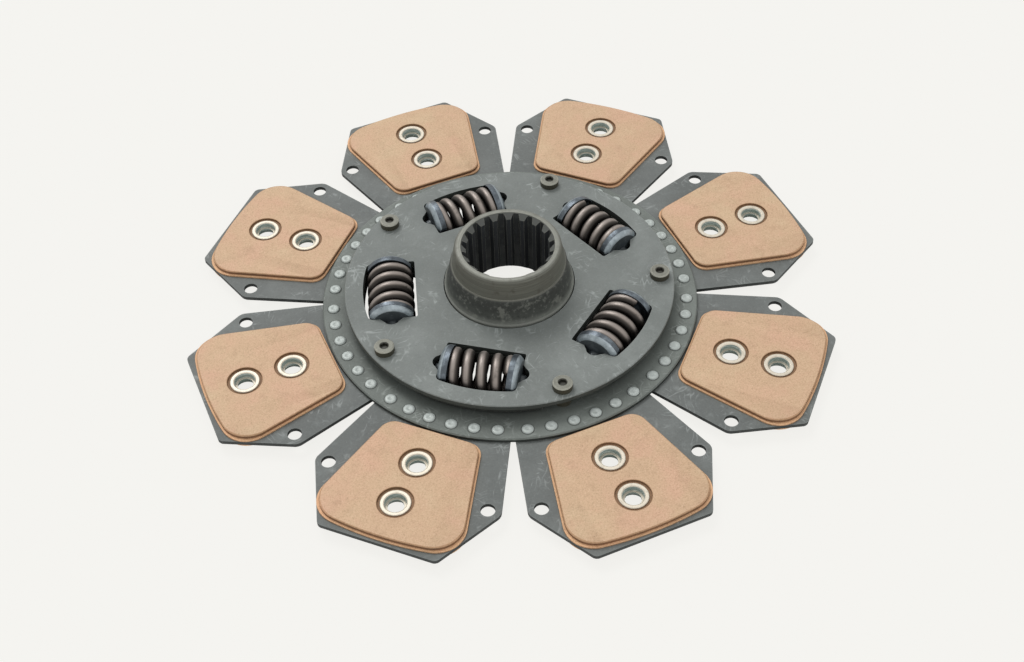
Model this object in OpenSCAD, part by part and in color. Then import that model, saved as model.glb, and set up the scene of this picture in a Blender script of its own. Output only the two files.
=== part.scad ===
// Clutch disc with eight riveted paddles, sintered friction pads on both faces and a sprung hub.
// Millimetres. The hub axis is Z, the front faces +Z, and Z = 0 is the face of the rear pads.

/* [Paddles] */
// Number of paddles round the disc
paddle_count = 8; // [6:1:10]
// Angle from +X to the middle of the first paddle
paddle_turn = 22.5; // [0:0.5:45]
// Width of the strip of paddle outside a pad
paddle_margin = 1.5; // [0.5:0.1:6]
// Sheet thickness of a paddle
paddle_t = 2.2; // [1.6:0.1:3]
// Distance from the rivet circle to the inner end of a paddle, under the carrier plate
paddle_root_lap = 6; // [4.5:0.1:6.5]
// Width of the slot between two paddles at the rivet circle
slot_w = 3.3; // [3:0.1:6]
// Width of the slot between two paddles at their shoulders
shoulder_gap = 13.1; // [10:0.1:18]
// Distance from the shoulders of a paddle to its outer edge
shoulder_back = 36.2; // [33:0.1:40]
// Half width of the straight outer edge of a paddle
tip_half_w = 31.5; // [28:0.1:34]
// Corner radius at the shoulders of a paddle
shoulder_corner_r = 6; // [3:0.5:8]
// Corner radius at the outer edge of a paddle
tip_corner_r = 3.6; // [2:0.2:6]
// Distance of a shoulder hole from the side of the paddle, across it
lug_in = 7.3; // [6:0.1:9]
// Distance of a shoulder hole behind the shoulder, along the paddle
lug_back = 0.5; // [-2:0.1:3]
// Diameter of a shoulder hole
lug_hole_d = 7.5; // [5:0.1:9]

/* [Friction pads] */
// Thickness of a pad with its backing
pad_t = 4.4; // [3.5:0.1:6]
// Thickness of the steel backing of a pad
backing_t = 1; // [0.6:0.1:1.5]
// Width by which the backing stands out round the pad
backing_lip = 0.6; // [0.3:0.1:1]
// Gap between the carrier plate and the straight inner edge of the backing
pad_gap = 0.6; // [0.3:0.1:4]
// Radius of the outer edge of the backing
pad_outer_r = 174; // [168:0.5:175]
// Half of the angle between the two radial sides of the backing
pad_half_turn = 14.15; // [12:0.05:14.5]
// Corner radius at the outer edge of a pad
pad_outer_corner_r = 12; // [8:0.5:14]
// Corner radius at the inner edge of a pad
pad_inner_corner_r = 8; // [5:0.5:10]
// Distance from the inner edge of a pad to its inner rivet
pad_rivet_from_inner = 22.4; // [18:0.1:26]
// Distance from the outer edge of a pad to its outer rivet
pad_rivet_from_outer = 22; // [18:0.1:26]
// Diameter of the recess round a pad rivet
pad_recess_d = 18.6; // [16:0.2:20]
// Depth of the recess below the pad face
pad_recess_depth = 2.6; // [1.5:0.1:2.8]

/* [Pad rivets] */
// Diameter of the tube of a pad rivet
tube_d = 12.6; // [11:0.1:13.5]
// Wall of the tube of a pad rivet
tube_wall = 0.9; // [0.6:0.1:1.2]
// Diameter of the rolled flange of a pad rivet
flange_d = 15.6; // [14.4:0.1:16]
// Thickness of the rolled flange of a pad rivet
flange_t = 0.8; // [0.5:0.1:1.2]
// Diameter of the hole through the middle web of a pad rivet
web_hole_d = 8.4; // [5:0.1:10]
// Thickness of the middle web of a pad rivet
web_t = 1.2; // [0.8:0.1:2]

/* [Carrier plate] */
// Width of the carrier plate outside the rivet circle
carrier_rim = 6; // [4.5:0.1:7]
// Thickness of the carrier plate
carrier_t = 2.5; // [2:0.1:3.5]
// Bevel on the front edge of the carrier plate
carrier_bevel = 0.7; // [0.3:0.1:1]
// Distance from the edge of the front cover to the rivet circle
rivet_from_cover = 7; // [6:0.1:9]
// Number of ring rivets on each paddle
rivets_each = 6; // [4:1:6]
// Angle between two ring rivets on one paddle
rivet_step = 7.2; // [6.8:0.05:7.4]
// Diameter of a ring rivet shank
rivet_d = 4.4; // [3.5:0.1:5]
// Diameter of a ring rivet head
rivet_head_d = 6.3; // [5.6:0.1:7]
// Height of a ring rivet head
rivet_head_h = 0.9; // [0.6:0.1:1.4]

/* [Front cover] */
// Width by which the front cover reaches past the hub flange
cover_lap = 4; // [2:0.1:6]
// Thickness of the front cover
cover_t = 3.5; // [2.5:0.1:4.5]
// Bevel on the edges of the front cover
cover_bevel = 0.5; // [0.2:0.1:1]
// Clearance between the hub and the hole in the front cover
cover_clearance = 0.5; // [0.3:0.05:0.9]

/* [Springs and windows] */
// Number of damper springs
spring_count = 5; // [5:1:5]
// Radius from the axis to the middle of a spring
spring_circle_r = 65; // [64.5:0.1:65.5]
// Angle from a stop pin to the middle of the next spring
spring_lead = 39.5; // [39:0.1:40]
// Length of a spring window
window_len = 42.6; // [41:0.1:44]
// Clearance between a seat and the straight inner side of its window
window_gap_inner = 0.85; // [0.5:0.05:2]
// Clearance between a seat and the outer side of its window
window_gap_outer = 1.85; // [1.6:0.05:3]
// Corner radius on the outer side of a window
window_corner_r = 3; // [2:0.1:3.2]
// Corner radius on the inner side of a window
window_inner_corner_r = 1.2; // [0.8:0.1:2]
// Outer diameter of a spring
spring_od = 24.8; // [23:0.1:24.8]
// Diameter of the spring wire
wire_d = 5.6; // [4.5:0.1:6]
// Turns of a spring, with both closed ends
spring_turns = 4.4; // [3.5:0.1:4.8]
// Closed part at each end of a spring, in turns
closed_turns = 0.8; // [0.5:0.1:1]
// Thickness of the end plate of a spring seat
seat_plate_t = 2.5; // [2:0.1:3]
// Length of a spring seat without its nub
seat_len = 5.5; // [4.5:0.1:6.5]
// Wall of the seat skirt
seat_wall = 0.7; // [0.5:0.05:0.7]
// Clearance between a spring and its seats
seat_clearance = 0.05; // [0.02:0.01:0.1]
// Rounding at the outer edge of a seat
seat_round = 3; // [2:0.1:3.5]
// Clearance between a spring and the pilot inside it
pilot_clearance = 0.4; // [0.2:0.1:0.8]
// Width of a seat across the radial flats
seat_flat_w = 23.8; // [22:0.1:24]
// Diameter of the nub on a seat
nub_d = 7.5; // [6.5:0.1:8]
// Length of the nub on a seat
nub_len = 4; // [3:0.1:4.2]
// Clearance round a nub in the notch of a window
nub_clearance = 0.75; // [0.5:0.05:1]

/* [Hub] */
// Width of the hub flange outside the windows
hub_flange_rim = 6; // [4.5:0.1:8]
// Thickness of the hub flange
hub_flange_t = 5; // [4:0.1:6]
// Height of the hub from its rear end to its front end
hub_len = 41; // [38:0.5:45]
// Distance from the rear end of the hub to the rear face of the carrier plate
hub_rear_step = 0.6; // [0.2:0.1:1.5]
// Wall of the rear collar, which turns in the bush, outside the spline roots
hub_rear_wall = 6; // [5:0.1:8]
// Wall of the hub at its front end, outside the spline roots
hub_front_wall = 3.9; // [3:0.1:6]
// Width by which the turned collar grows from the front end to the shoulder
hub_collar_flare = 2.4; // [1.8:0.1:4]
// Width by which the rough cone grows from the shoulder to the front cover
hub_cone_flare = 4.1; // [3:0.1:6]
// Height of the turned collar above the shoulder
hub_collar_h = 12.1; // [10:0.1:14]
// Height of the straight part of the hub above the front cover
hub_boss_h = 1.7; // [1:0.1:3]
// Bevel at the ends of the hub
hub_bevel = 0.7; // [0.3:0.1:1]
// Number of spline teeth
tooth_count = 19; // [19:1:19]
// Angle from +X to the middle of one spline tooth
tooth_turn = 88.3; // [70:0.1:90]
// Diameter between the roots of the spline
spline_root_d = 50; // [49:0.1:50.4]
// Diameter between the tips of the spline teeth
spline_tip_d = 45; // [44:0.1:46]
// Side angle of a spline tooth
spline_angle = 30; // [25:1:32]
// Depth of the lead-in chamfer over the spline ends
spline_chamfer = 2.9; // [2:0.1:3.5]

/* [Bush and washer] */
// Running clearance between the hub and the bush
bush_clearance = 0.05; // [0.02:0.01:0.1]
// Wall of the bush sleeve
bush_wall = 2.95; // [2:0.05:3.5]
// Distance between the bush flange and the windows
bush_margin = 7; // [3:0.1:10]
// Thickness of the bush flange behind the hub flange
bush_flange_t = 1; // [0.8:0.1:1.5]
// Thickness of the friction washer before the hub flange
washer_t = 0.9; // [0.6:0.1:1.5]
// Distance between the friction washer and the windows
washer_margin = 5; // [3:0.1:8]
// Clearance between the hub and the friction washer
washer_clearance = 0.8; // [0.3:0.1:1.2]

/* [Stop pins] */
// Distance from the outer side of the windows to the circle through the stop pins
pin_from_window = 2.3; // [1.5:0.1:3]
// Angle from +X to the first stop pin
pin_turn = 0.5; // [0:0.5:30]
// Diameter of a stop pin between the plates
pin_d = 9.2; // [8.4:0.1:9.6]
// Diameter of the necks through the plates
pin_neck_d = 6.8; // [5:0.1:7.6]
// Diameter of the front head of a stop pin
pin_head_d = 10.6; // [9.6:0.1:11.2]
// Height of the front head of a stop pin
pin_head_h = 4; // [2.5:0.1:5]
// Height of the rear head of a stop pin
pin_rear_h = 2.2; // [1.5:0.1:3]
// Bevel on the heads of a stop pin
pin_bevel = 0.7; // [0.3:0.1:1]
// Width across flats of the recess in a front head
pin_recess_w = 3.7; // [3:0.1:5]
// Depth of the recess in a front head
pin_recess_depth = 1.8; // [1:0.1:2.5]
// Turn of the hub until a stop pin ends it on the short side
short_turn = 4.8; // [4:0.1:6]
// Room beside a stop pin on the long side, as a turn
long_turn = 14.8; // [12:0.1:15]
// Clearance between a stop pin and the bottom of its notch
notch_clearance = 1.2; // [0.8:0.1:2]

/* [Hidden] */
$fn = 96;
// Reach of a cutter past the face that it opens
cut = 1;
// Extra radius of a corner arc, so that it crosses its two sides and doesn't only touch them
corner_ease = 0.02;
// Heights of the plates, from the rear pads forward
paddle_z = pad_t;
carrier_z = paddle_z + paddle_t;
carrier_top = carrier_z + carrier_t;
flange_z = carrier_top + bush_flange_t;
flange_top = flange_z + hub_flange_t;
cover_z = flange_top + washer_t;
cover_top = cover_z + cover_t;
front_pad_z = paddle_z + paddle_t;
hub_z = carrier_z - hub_rear_step;
hub_top = hub_z + hub_len;
shoulder_z = hub_top - hub_collar_h;
paddle_step = 360 / paddle_count;
spring_step = 360 / spring_count;
// Radii of the damper, from the springs outward to the pads
seat_r = spring_od / 2 + seat_clearance + seat_wall;
window_inner = spring_circle_r - seat_r - window_gap_inner;
window_outer_r = spring_circle_r + seat_r + window_gap_outer;
pin_circle_r = window_outer_r + pin_from_window;
hub_flange_r = window_outer_r + hub_flange_rim;
cover_r = hub_flange_r + cover_lap;
rivet_circle_r = cover_r + rivet_from_cover;
carrier_r = rivet_circle_r + carrier_rim;
paddle_root_r = rivet_circle_r - paddle_root_lap;
pad_inner = carrier_r + pad_gap;
pad_rivet_inner = pad_inner + pad_rivet_from_inner;
pad_rivet_outer = pad_outer_r - pad_rivet_from_outer;
paddle_reach = pad_outer_r + paddle_margin;
shoulder_reach = paddle_reach - shoulder_back;
// Half width of a paddle where its neighbour is a given slot away
function wedge_half_w(reach, slot) = (reach * sin(paddle_step / 2) - slot / 2) / cos(paddle_step / 2);
shoulder_half_w = wedge_half_w(shoulder_reach, shoulder_gap);
lug_spot = [shoulder_reach - lug_back, shoulder_half_w - lug_in];
// Radii of the hub, from the spline outward
spline_root_r = spline_root_d / 2;
spline_tip_r = spline_tip_d / 2;
hub_rear_r = spline_root_r + hub_rear_wall;
hub_front_r = spline_root_r + hub_front_wall;
hub_shoulder_r = hub_front_r + hub_collar_flare;
hub_boss_r = hub_shoulder_r + hub_cone_flare;
washer_r = window_inner - washer_margin;
bush_flange_r = window_inner - bush_margin;
// Half width of a paddle where it passes under the rivet circle
root_half_w = wedge_half_w(rivet_circle_r, slot_w);
// A spring hangs as low as its seats can without passing the rear pads
spring_lift = 0.05;
spring_z = seat_r + spring_lift;
coil_r = (spring_od - wire_d) / 2;
coil_half = window_len / 2 - seat_plate_t - wire_d / 2;
coil_gap = 0.1;
closed_pitch = wire_d + coil_gap;
open_pitch = (2 * coil_half - 2 * closed_turns * closed_pitch) / (spring_turns - 2 * closed_turns);
notch_r = nub_d / 2 + nub_clearance;
bush_bore_r = hub_rear_r + bush_clearance;
bush_r = bush_bore_r + bush_wall;
cover_bore_r = hub_boss_r + cover_clearance;
pin_half_turn = asin(pin_d / 2 / pin_circle_r);
stop_notch_r = pin_circle_r - pin_d / 2 - notch_clearance;
spring_turn_0 = pin_turn + spring_lead;

// Direction, length and corner helpers for flat outlines
function unit(v) = v / norm(v);
function left(v) = [-v[1], v[0]];
function on_circle(r, a) = [r * cos(a), r * sin(a)];
function corner_centre(p, a, b, r) =
    let (u = unit(a - p), v = unit(b - p), half = acos(u * v) / 2)
    p + unit(u + v) * r / sin(half);
function foot(c, p, a) = p + unit(a - p) * ((c - p) * unit(a - p));

// Takes the sharp corner p off an outline, with a at its one side and b at its other side
module corner_waste(p, a, b, r) {
    c = corner_centre(p, a, b, r);
    t1 = foot(c, p, a);
    t2 = foot(c, p, b);
    n1 = unit(t1 - c);
    n2 = unit(t2 - c);
    difference() {
        polygon([c, t1, t1 + n1 * cut, p + (n1 + n2) * cut / (1 + n1 * n2), t2 + n2 * cut, t2]);
        translate(c) circle(r = r + corner_ease);
    }
}

// Closed outline with rounded corners
module soft_outline(points, radii) {
    n = len(points);
    difference() {
        polygon(points);
        for (i = [0 : n - 1]) {
            if (radii[i] > 0) {
                corner_waste(points[i], points[(i + n - 1) % n], points[(i + 1) % n], radii[i]);
            }
        }
    }
}

module at_paddle(i) {
    rotate([0, 0, paddle_turn + (i - 1) * paddle_step]) children();
}

module at_spring(i) {
    rotate([0, 0, spring_turn_0 + (i - 1) * spring_step]) children();
}

// Straight ring with bevelled outer edges
module plate_ring(inner_r, outer_r, z, t, bevel_top, bevel_low) {
    rotate_extrude()
        polygon([
            [inner_r, z],
            [outer_r - bevel_low, z],
            [outer_r, z + bevel_low],
            [outer_r, z + t - bevel_top],
            [outer_r - bevel_top, z + t],
            [inner_r, z + t]
        ]);
}

// Flat shape of one window with a notch for the nub at each end
module window_shape() {
    half = window_len / 2;
    cc = [sqrt(pow(window_outer_r - window_corner_r, 2) - pow(half - window_corner_r, 2)), half - window_corner_r];
    touch = cc * window_outer_r / (window_outer_r - window_corner_r);
    past = window_outer_r + 2 * cut;
    difference() {
        intersection() {
            circle(r = window_outer_r);
            translate([window_inner, -half]) square([window_outer_r - window_inner + cut, window_len]);
        }
        for (s = [-1, 1]) {
            scale([1, s]) {
                difference() {
                    polygon([
                        cc,
                        [cc[0], half],
                        [cc[0], half + cut],
                        [past, half + cut],
                        touch * (past / norm(touch)),
                        touch
                    ]);
                    translate(cc) circle(r = window_corner_r);
                }
                corner_waste([window_inner, half], [window_inner, 0], [spring_circle_r, half], window_inner_corner_r);
            }
        }
    }
    for (s = [-1, 1]) {
        scale([1, s]) {
            translate([spring_circle_r, half]) circle(r = notch_r);
            translate([spring_circle_r, half])
                polygon([
                    [-notch_r * 1.4, -cut],
                    [-notch_r * 1.4, 0],
                    [-notch_r * 0.86, notch_r * 0.5],
                    [notch_r * 0.86, notch_r * 0.5],
                    [notch_r * 1.4, 0],
                    [notch_r * 1.4, -cut]
                ]);
        }
    }
}

module windows(z, t) {
    for (i = [1 : spring_count]) {
        at_spring(i) translate([0, 0, z - cut]) linear_extrude(t + 2 * cut) window_shape();
    }
}

module pin_places() {
    for (i = [0 : spring_count - 1]) {
        rotate([0, 0, pin_turn + i * spring_step]) translate([pin_circle_r, 0, 0]) children();
    }
}

module ring_rivet_places() {
    for (i = [1 : paddle_count]) {
        for (k = [0 : rivets_each - 1]) {
            at_paddle(i)
                rotate([0, 0, (k - (rivets_each - 1) / 2) * rivet_step]) translate([rivet_circle_r, 0, 0]) children();
        }
    }
}

module pad_rivet_places() {
    for (r = [pad_rivet_inner, pad_rivet_outer]) {
        translate([r, 0, 0]) children();
    }
}

module front_cover() {
    color([0.49, 0.51, 0.49])
    difference() {
        plate_ring(cover_bore_r, cover_r, cover_z, cover_t, cover_bevel, cover_bevel);
        windows(cover_z, cover_t);
        pin_places() translate([0, 0, cover_z - cut]) cylinder(d = pin_neck_d, h = cover_t + 2 * cut);
    }
}

module carrier_plate() {
    color([0.4, 0.42, 0.4])
    difference() {
        plate_ring(bush_r, carrier_r, carrier_z, carrier_t, carrier_bevel, 0.2);
        windows(carrier_z, carrier_t);
        pin_places() translate([0, 0, carrier_z - cut]) cylinder(d = pin_neck_d, h = carrier_t + 2 * cut);
        ring_rivet_places() translate([0, 0, carrier_z - cut]) cylinder(d = rivet_d, h = carrier_t + 2 * cut, $fn = 32);
    }
}

// Room for one stop pin in the rim of the hub flange
module stop_notch() {
    a0 = -(short_turn + pin_half_turn);
    a1 = long_turn + pin_half_turn;
    near = spring_circle_r;
    far = hub_flange_r * 1.2;
    difference() {
        polygon([
            on_circle(near, a0),
            on_circle(far, a0),
            on_circle(far, (a0 + a1) / 2),
            on_circle(far, a1),
            on_circle(near, a1)
        ]);
        circle(r = stop_notch_r);
    }
}

module hub_flange() {
    difference() {
        plate_ring((spline_root_r + hub_rear_r) / 2, hub_flange_r, flange_z, hub_flange_t, 0.4, 0.4);
        windows(flange_z, hub_flange_t);
        for (i = [0 : spring_count - 1]) {
            rotate([0, 0, pin_turn + i * spring_step])
                translate([0, 0, flange_z - cut]) linear_extrude(hub_flange_t + 2 * cut) stop_notch();
        }
    }
}

// Turned outside of the hub, bored to the roots of the spline
module hub_barrel() {
    cone_z = cover_top + hub_boss_h;
    waist_z = cone_z + (shoulder_z - cone_z) * 0.42;
    waist_r = hub_shoulder_r + hub_cone_flare * 0.46;
    rotate_extrude()
        polygon([
            [spline_root_r, hub_z],
            [hub_rear_r - hub_bevel, hub_z],
            [hub_rear_r, hub_z + hub_bevel / 2],
            [hub_rear_r, flange_z + hub_flange_t / 2],
            [hub_boss_r, flange_z + hub_flange_t / 2],
            [hub_boss_r, cone_z - hub_bevel],
            [hub_boss_r - hub_bevel, cone_z],
            [waist_r, waist_z],
            [hub_shoulder_r + hub_bevel / 2, shoulder_z - hub_bevel],
            [hub_shoulder_r, shoulder_z],
            [hub_shoulder_r - hub_bevel, shoulder_z + hub_bevel],
            [hub_shoulder_r - hub_bevel, shoulder_z + 2 * hub_bevel],
            [hub_front_r, hub_top - 2 * hub_bevel],
            [hub_front_r - hub_bevel, hub_top - hub_bevel / 2],
            [hub_front_r - 2 * hub_bevel, hub_top],
            [spline_root_r, hub_top]
        ]);
}

// Teeth between the root and tip circles, with a cone over both ends
module spline_teeth() {
    tip_r = spline_tip_r;
    pitch_r = (spline_root_r + tip_r) / 2;
    half = PI * pitch_r / tooth_count / 2;
    seat = spline_root_r + hub_front_wall / 6;
    tip_half = half - (pitch_r - tip_r) * tan(spline_angle);
    seat_half = half + (seat - pitch_r) * tan(spline_angle);
    difference() {
        translate([0, 0, hub_z])
            linear_extrude(hub_len)
                intersection() {
                    difference() {
                        circle(r = seat);
                        circle(r = tip_r);
                    }
                    for (i = [0 : tooth_count - 1]) {
                        rotate(tooth_turn + i * 360 / tooth_count)
                            polygon([
                                [tip_r - cut, -tip_half],
                                [tip_r, -tip_half],
                                [seat + cut, -seat_half - cut * tan(spline_angle)],
                                [seat + cut, seat_half + cut * tan(spline_angle)],
                                [tip_r, tip_half],
                                [tip_r - cut, tip_half]
                            ]);
                    }
                }
        spline_lead(hub_top, 1);
        spline_lead(hub_z, -1);
    }
}

module spline_lead(z, side) {
    reach = spline_chamfer + cut;
    mouth_r = spline_tip_r + spline_chamfer;
    translate([0, 0, z])
        scale([1, 1, side])
            rotate_extrude()
                polygon([[0, -reach], [spline_tip_r - cut, -reach], [mouth_r, 0], [mouth_r, cut], [0, cut]]);
}

module hub() {
    color([0.42, 0.42, 0.38])
    union() {
        difference() {
            hub_barrel();
            spline_lead(hub_top, 1);
            spline_lead(hub_z, -1);
        }
        hub_flange();
        spline_teeth();
    }
}

module centre_bush() {
    color([0.3, 0.29, 0.26])
    rotate_extrude()
        polygon([
            [bush_bore_r, carrier_z],
            [bush_r, carrier_z],
            [bush_r, carrier_top],
            [bush_flange_r, carrier_top],
            [bush_flange_r, flange_z],
            [bush_bore_r, flange_z]
        ]);
}

module friction_washer() {
    color([0.32, 0.31, 0.28])
    rotate_extrude()
        translate([hub_boss_r + washer_clearance, flange_top])
            square([washer_r - hub_boss_r - washer_clearance, washer_t]);
}

module stop_pin() {
    head_r = pin_head_d / 2;
    head_top = cover_top + pin_head_h;
    rear_top = carrier_z - pin_rear_h;
    difference() {
        rotate_extrude()
            polygon([
                [0, rear_top],
                [head_r - pin_bevel, rear_top],
                [head_r, rear_top + pin_bevel],
                [head_r, carrier_z],
                [pin_neck_d / 2, carrier_z],
                [pin_neck_d / 2, carrier_top],
                [pin_d / 2, carrier_top],
                [pin_d / 2, cover_z],
                [pin_neck_d / 2, cover_z],
                [pin_neck_d / 2, cover_top],
                [head_r, cover_top],
                [head_r, head_top - pin_bevel],
                [head_r - pin_bevel, head_top],
                [0, head_top]
            ]);
        translate([0, 0, head_top - pin_recess_depth])
            cylinder(d = pin_recess_w / cos(30), h = pin_recess_depth + cut, $fn = 6);
        // Countersink that breaks the edge of the recess
        rotate_extrude()
            polygon([
                [0, head_top - pin_bevel],
                [pin_recess_w / 2, head_top - pin_bevel],
                [pin_recess_w / 2 + pin_bevel + cut, head_top + cut],
                [0, head_top + cut]
            ]);
    }
}

module stop_pins() {
    color([0.55, 0.54, 0.5]) pin_places() stop_pin();
}

module ring_rivet() {
    r = rivet_head_d / 2;
    low = paddle_z - rivet_head_h;
    high = carrier_top + rivet_head_h;
    round_w = rivet_head_h * 0.9;
    rotate_extrude($fn = 32)
        polygon([
            [0, low],
            [r - round_w, low],
            [r - round_w * 0.2, low + rivet_head_h * 0.4],
            [r, low + rivet_head_h * 0.8],
            [r, paddle_z],
            [rivet_d / 2, paddle_z],
            [rivet_d / 2, carrier_top],
            [r, carrier_top],
            [r, high - rivet_head_h * 0.8],
            [r - round_w * 0.2, high - rivet_head_h * 0.4],
            [r - round_w, high],
            [0, high]
        ]);
}

module ring_rivets() {
    color([0.8, 0.83, 0.81]) ring_rivet_places() ring_rivet();
}

// Half of a pad rivet, from the middle web to the flange at z = top
module pad_rivet_half(top) {
    bore_r = tube_d / 2 - tube_wall;
    flare = flange_t * 0.9;
    rotate_extrude($fn = 64)
        polygon([
            [web_hole_d / 2, 0],
            [tube_d / 2, 0],
            [tube_d / 2, top - flange_t],
            [flange_d / 2, top - flange_t],
            [flange_d / 2, top - flange_t * 0.3],
            [flange_d / 2 - flange_t * 0.4, top],
            [bore_r + flare, top],
            [bore_r + flare * 0.3, top - flare * 0.5],
            [bore_r, top - flare * 1.5],
            [bore_r, web_t / 2],
            [web_hole_d / 2, web_t / 2]
        ]);
}

module pad_rivet() {
    mid = paddle_z + paddle_t / 2;
    top = paddle_t / 2 + pad_t - pad_recess_depth + flange_t;
    translate([0, 0, mid]) {
        pad_rivet_half(top);
        scale([1, 1, -1]) pad_rivet_half(top);
    }
}

module pad_rivets() {
    color([0.8, 0.83, 0.81])
    for (i = [1 : paddle_count]) {
        at_paddle(i) pad_rivet_places() pad_rivet();
    }
}

module paddle(i) {
    slope = (shoulder_half_w - root_half_w) / (shoulder_reach - rivet_circle_r);
    root_u = paddle_root_r * 0.8;
    start_half_w = root_half_w - slope * (rivet_circle_r - root_u);
    color([0.41, 0.43, 0.43])
    at_paddle(i)
    translate([0, 0, paddle_z])
    difference() {
        linear_extrude(paddle_t)
            soft_outline(
                [
                    [root_u, -start_half_w],
                    [shoulder_reach, -shoulder_half_w],
                    [paddle_reach, -tip_half_w],
                    [paddle_reach, tip_half_w],
                    [shoulder_reach, shoulder_half_w],
                    [root_u, start_half_w]
                ],
                [0, shoulder_corner_r, tip_corner_r, tip_corner_r, shoulder_corner_r, 0]
            );
        translate([0, 0, -cut]) cylinder(r = paddle_root_r, h = paddle_t + 2 * cut, $fn = 180);
        for (s = [-1, 1]) {
            translate([lug_spot[0], s * lug_spot[1], -cut]) cylinder(d = lug_hole_d, h = paddle_t + 2 * cut, $fn = 48);
        }
        pad_rivet_places() translate([0, 0, -cut]) cylinder(d = tube_d, h = paddle_t + 2 * cut, $fn = 64);
        for (k = [0 : rivets_each - 1]) {
            rotate([0, 0, (k - (rivets_each - 1) / 2) * rivet_step])
                translate([rivet_circle_r, 0, -cut]) cylinder(d = rivet_d, h = paddle_t + 2 * cut, $fn = 32);
        }
    }
}

// Outline of a pad, drawn in from the backing by a margin
module pad_outline(margin) {
    inner = pad_inner + margin;
    outer = pad_outer_r - margin;
    shift = margin / cos(pad_half_turn);
    inner_half = inner * tan(pad_half_turn) - shift;
    far = outer + pad_outer_corner_r;
    far_half = far * tan(pad_half_turn) - shift;
    rc = pad_outer_corner_r;
    // The corner circle touches the radial side and the outer arc
    off = rc + margin;
    reach = sqrt(pow(outer - rc, 2) - pow(off, 2));
    along = on_circle(1, pad_half_turn);
    centre = reach * along - off * left(along);
    side_touch = centre + rc * left(along);
    arc_touch = centre * outer / norm(centre);
    difference() {
        intersection() {
            circle(r = outer, $fn = 180);
            polygon([[inner, -inner_half], [far, -far_half], [far, far_half], [inner, inner_half]]);
        }
        for (s = [-1, 1]) {
            scale([1, s]) {
                difference() {
                    polygon([
                        centre,
                        side_touch,
                        side_touch + left(along) * cut,
                        far * along + left(along) * cut,
                        arc_touch * (far / outer),
                        arc_touch
                    ]);
                    translate(centre) circle(r = rc + corner_ease);
                }
                corner_waste([inner, inner_half], [inner, 0], [far, far_half], pad_inner_corner_r);
            }
        }
    }
}

// A pad that stands on z = 0 with its friction face up
module pad() {
    difference() {
        union() {
            linear_extrude(backing_t) pad_outline(0);
            linear_extrude(pad_t) pad_outline(backing_lip);
        }
        pad_rivet_places() {
            translate([0, 0, -cut]) cylinder(d = tube_d, h = pad_t + 2 * cut, $fn = 64);
            translate([0, 0, pad_t - pad_recess_depth]) cylinder(d = pad_recess_d, h = pad_recess_depth + cut, $fn = 64);
        }
    }
}

module front_pad(i) {
    color([0.82, 0.68, 0.55]) at_paddle(i) translate([0, 0, front_pad_z]) pad();
}

module rear_pad(i) {
    color([0.82, 0.68, 0.55]) at_paddle(i) translate([0, 0, paddle_z]) rotate([180, 0, 0]) pad();
}

// Height of the wire along the spring, with closed ends and an open middle
function coil_pos(t) =
    t < closed_turns ? t * closed_pitch
    : t > spring_turns - closed_turns ? 2 * coil_half - (spring_turns - t) * closed_pitch
    : closed_turns * closed_pitch + (t - closed_turns) * open_pitch;

// Round wire swept along the coil, with its axis on Z and its middle at the origin
module coil() {
    per_turn = 22;
    sides = 10;
    steps = round(spring_turns * per_turn);
    wire_r = wire_d / 2;
    points = [
        for (i = [0 : steps])
            for (k = [0 : sides - 1])
                let (
                    t = spring_turns * i / steps,
                    a = 360 * t,
                    b = 360 * (k + 0.5) / sides,
                    r = coil_r + wire_r * cos(b),
                    z = coil_pos(t) - coil_half + wire_r * sin(b)
                )
                [r * cos(a), r * sin(a), z]
    ];
    walls = [
        for (i = [0 : steps - 1])
            for (k = [0 : sides - 1])
                let (m = (k + 1) % sides)
                [i * sides + k, (i + 1) * sides + k, (i + 1) * sides + m, i * sides + m]
    ];
    first = [for (k = [0 : sides - 1]) k];
    last = [for (k = [0 : sides - 1]) steps * sides + sides - 1 - k];
    polyhedron(points = points, faces = concat(walls, [first, last]), convexity = 8);
}

module spring(i) {
    color([0.26, 0.23, 0.21])
    at_spring(i)
    translate([spring_circle_r, 0, spring_z])
    rotate([-90, 0, 0])
    rotate([0, 0, 150])
    coil();
}

// A seat with its end face on z = 0, its nub below and its skirt above
module seat_body() {
    pilot_r = coil_r - wire_d / 2 - pilot_clearance;
    intersection() {
        rotate_extrude()
            polygon([
                [0, -nub_len],
                [nub_d * 0.2, -nub_len * 0.97],
                [nub_d * 0.36, -nub_len * 0.8],
                [nub_d * 0.46, -nub_len * 0.45],
                [nub_d / 2, -nub_len * 0.05],
                [nub_d / 2, 0],
                [seat_r - seat_round * 1.25, 0],
                [seat_r - seat_round * 0.9, seat_round * 0.1],
                [seat_r - seat_round * 0.5, seat_round * 0.34],
                [seat_r - seat_round * 0.12, seat_round * 0.68],
                [seat_r, seat_round],
                [seat_r, seat_len],
                [seat_r - seat_wall, seat_len],
                [seat_r - seat_wall, seat_plate_t],
                [pilot_r, seat_plate_t],
                [pilot_r - pilot_clearance, seat_len],
                [0, seat_len]
            ]);
        translate([-seat_flat_w / 2, -seat_r - cut, -nub_len - cut])
            cube([seat_flat_w, 2 * (seat_r + cut), nub_len + seat_len + 2 * cut]);
    }
}

module seat(i, side) {
    color([0.55, 0.6, 0.63])
    at_spring(i)
    translate([spring_circle_r, side * window_len / 2, spring_z])
    rotate([side * 90, 0, 0])
    seat_body();
}

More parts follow.
